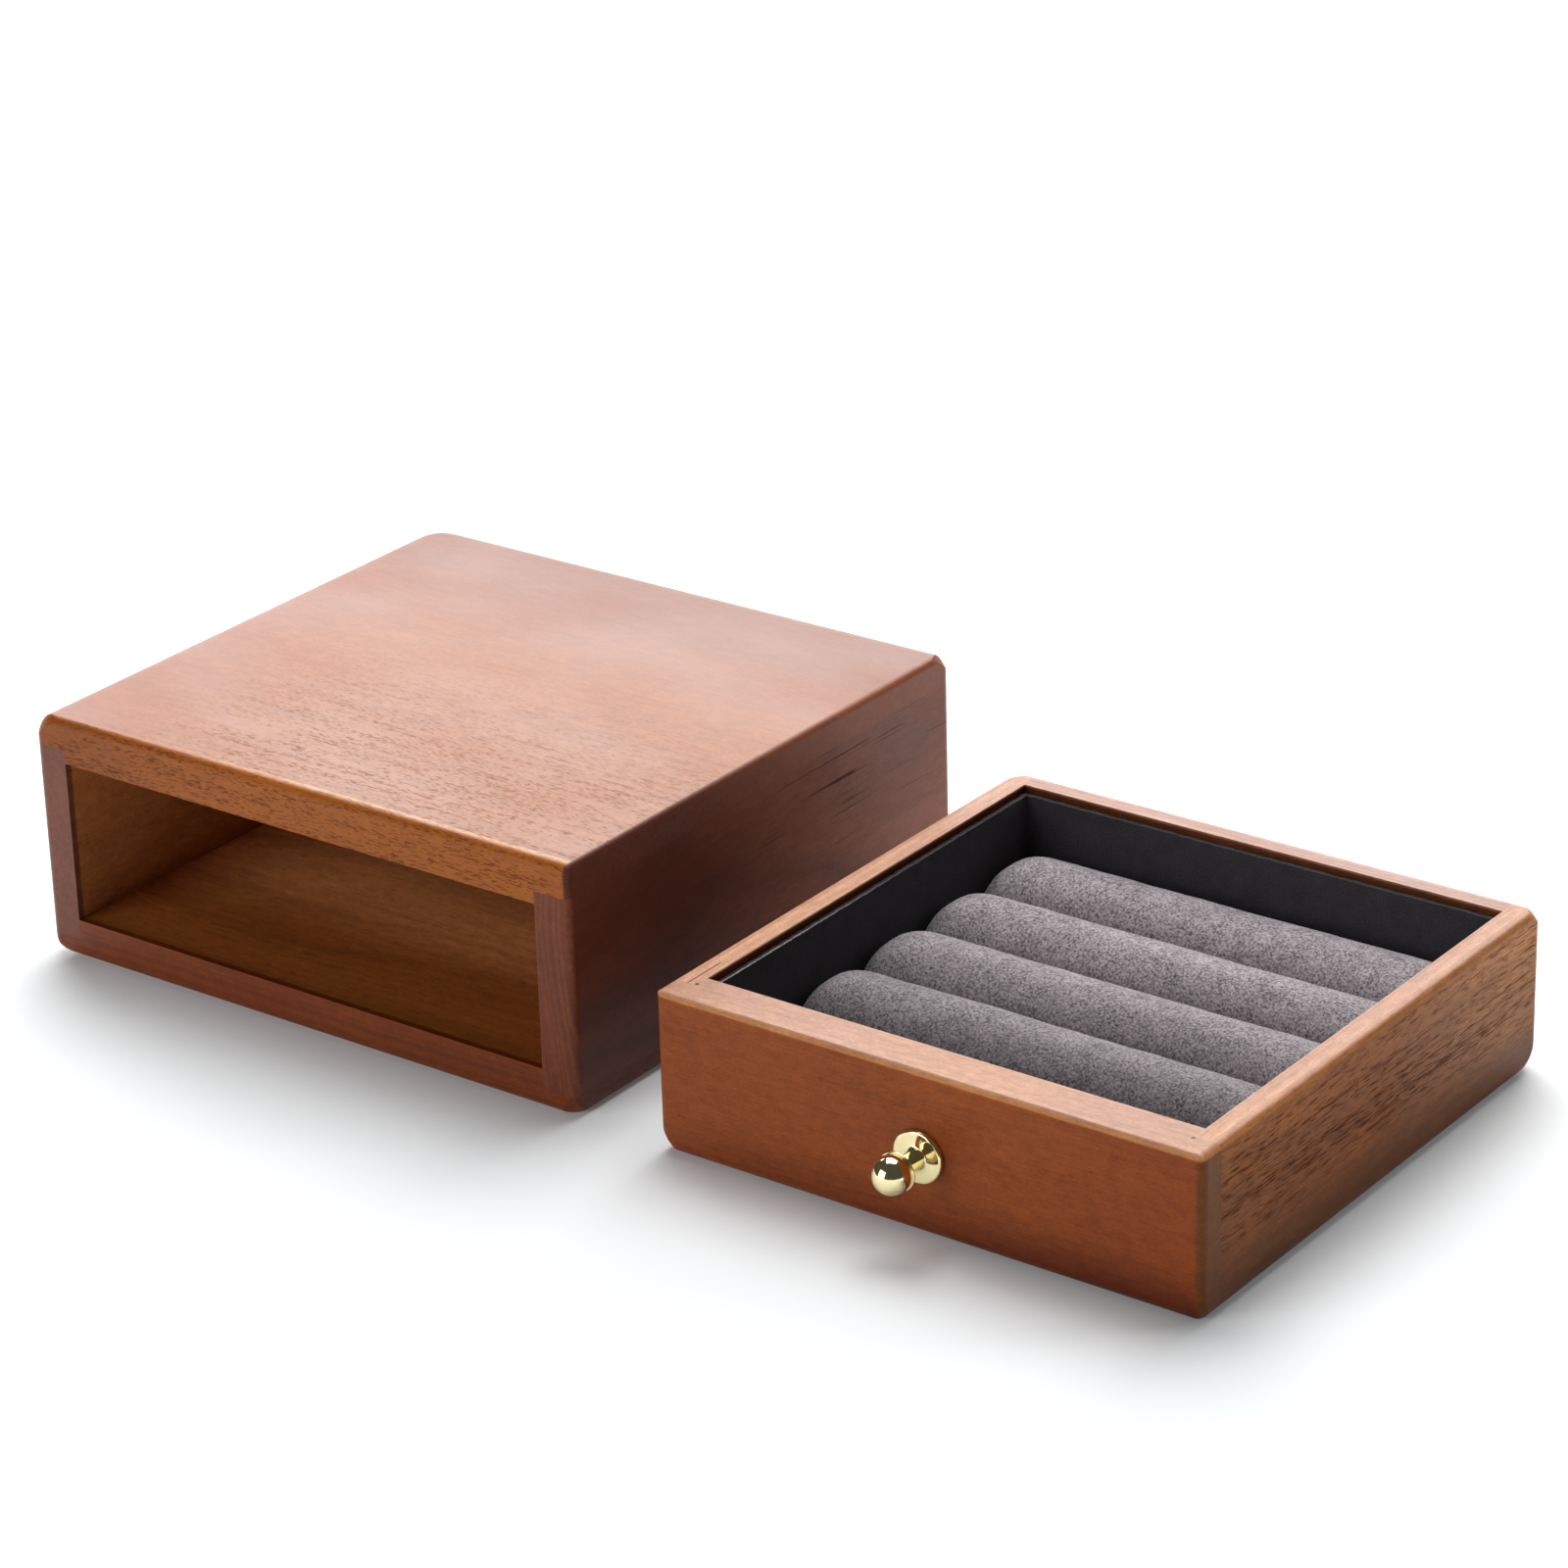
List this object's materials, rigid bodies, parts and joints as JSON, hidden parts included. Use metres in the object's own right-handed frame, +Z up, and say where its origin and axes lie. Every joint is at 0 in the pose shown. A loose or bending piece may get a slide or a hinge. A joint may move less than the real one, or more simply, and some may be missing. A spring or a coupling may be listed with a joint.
{
  "type": "ring box",
  "caption": "Wooden jewellery case with an open front, and its drawer, which has a ball knob and padded rolls that hold rings, standing beside it.",
  "frame": {"origin": "centre of the case's flat underside", "axes": "+X to the right across the case's open front, with the drawer standing on that side; -Y out of the front of the case and of the drawer; +Z up"},
  "size_m": [0.3034, 0.1529, 0.058],
  "materials": {
    "case_wood": "stained, satin lacquer",
    "drawer_wood": "stained, satin lacquer",
    "panel_wood": "stained plywood, matt",
    "brad_steel": "bright drawn wire",
    "screw_steel": "zinc plated",
    "knob_brass": "polished",
    "tray_card": "dark card, matt",
    "liner_suede": "near-black suede cloth on card",
    "roll_suede": "grey suede cloth, matt",
    "roll_foam": "soft foam"
  },
  "bodies": {
    "case": {"case_top": "case_wood", "case_bottom": "case_wood", "case_left_wall": "case_wood", "case_right_wall": "case_wood", "case_back": "case_wood", "case_brads": "brad_steel"},
    "wall_brad": {"case_wall_brad": "brad_steel"},
    "rear_brad": {"drawer_rear_brad": "brad_steel"},
    "drawer": {"drawer_front": "drawer_wood", "drawer_left_side": "drawer_wood", "drawer_right_side": "drawer_wood", "drawer_rear": "drawer_wood", "drawer_panel": "panel_wood", "drawer_brads": "brad_steel", "knob": "knob_brass", "knob_screw": "screw_steel", "tray_base": "tray_card", "liner_front": "liner_suede", "liner_rear": "liner_suede", "liner_left": "liner_suede", "liner_right": "liner_suede", "roll_cover_1": "roll_suede", "roll_cover_2": "roll_suede", "roll_cover_3": "roll_suede", "roll_cover_4": "roll_suede", "roll_cover_5": "roll_suede", "roll_foam_1": "roll_foam", "roll_foam_2": "roll_foam", "roll_foam_3": "roll_foam", "roll_foam_4": "roll_foam", "roll_foam_5": "roll_foam"}
  },
  "joints": [
    {"name": "drawer_carry", "type": "hinge", "parent": "case", "child": "wall_brad", "pos_m": [0.069, -0.0171, 0.00813], "axis": [-0.0604, 0, -0.9982], "range_deg": [0, 180]},
    {"name": "drawer_slide", "type": "slide", "parent": "wall_brad", "child": "rear_brad", "axis": [0, -1, 0], "range_m": [0, 0.1504]},
    {"name": "drawer_turn", "type": "hinge", "parent": "rear_brad", "child": "drawer", "pos_m": [0.1504, 0.0576, 0.0032], "axis": [-0.0604, 0, -0.9982], "range_deg": [-180, 0]}
  ],
  "couplings": [
    {"joint": "drawer_turn", "follows": "drawer_carry", "ratio": -1}
  ]
}
